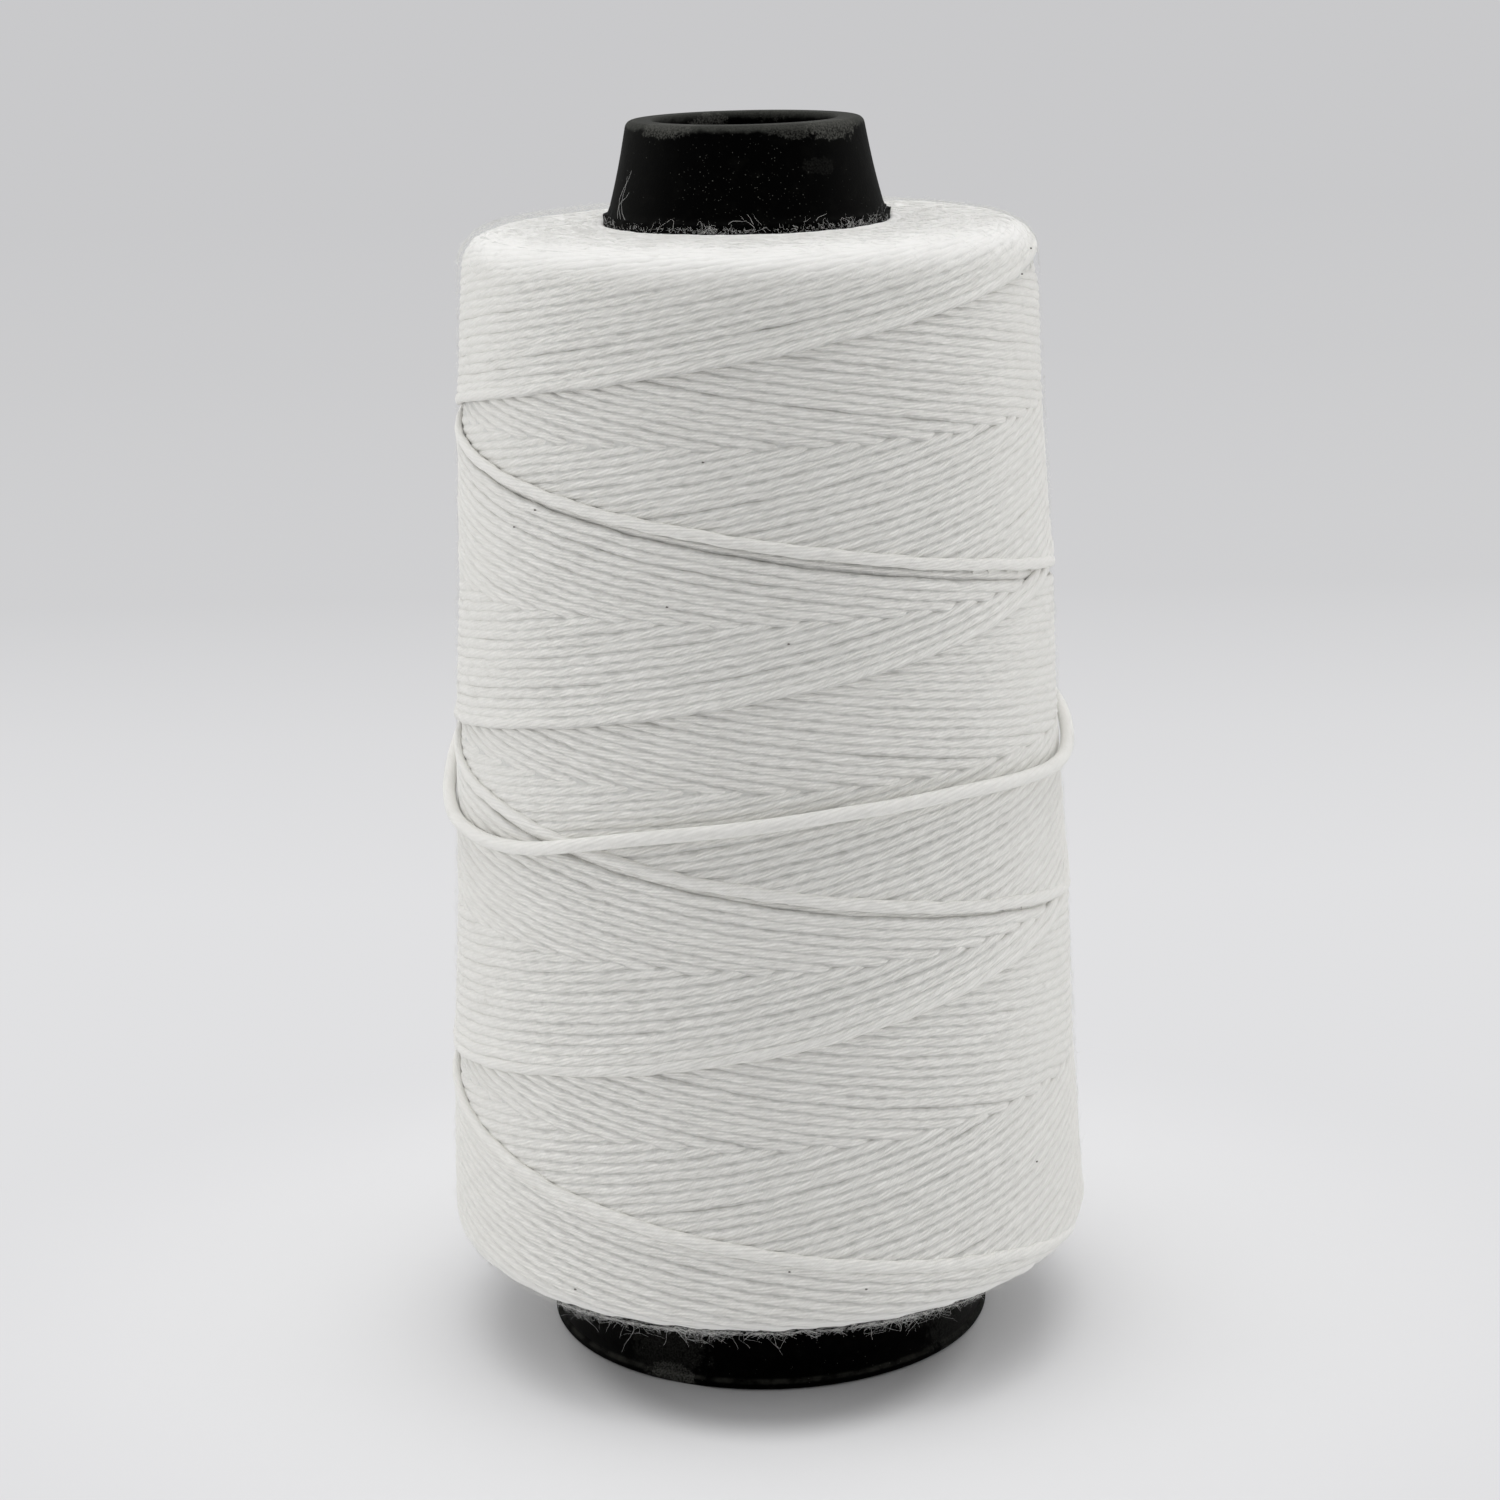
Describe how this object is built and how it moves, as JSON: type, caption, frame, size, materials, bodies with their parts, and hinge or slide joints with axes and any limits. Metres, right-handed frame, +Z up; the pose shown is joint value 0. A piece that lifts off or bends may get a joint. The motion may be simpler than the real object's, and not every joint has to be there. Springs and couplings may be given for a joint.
{
  "type": "spool of thread",
  "caption": "Cone of thick white sewing thread, cross-wound on a hollow tapered plastic cone with an open nose; its loose end lies round the package.",
  "frame": {"origin": "centre of the foot ring on the surface that the cone stands on", "axes": "+Z up along the cone's axis, from the foot to the nose; -Y is the side from which the loose thread is seen to cross the package"},
  "size_m": [0.066, 0.066, 0.125],
  "materials": {
    "cone_plastic": "matt black moulded plastic, worn paler on the rim of the nose",
    "thread": "matt off-white plied yarn with a short fuzz"
  },
  "bodies": {
    "root": {"plastic_cone": "cone_plastic", "thread_package": "thread", "outer_thread_layer": "thread", "loose_thread_end": "thread"}
  },
  "joints": []
}
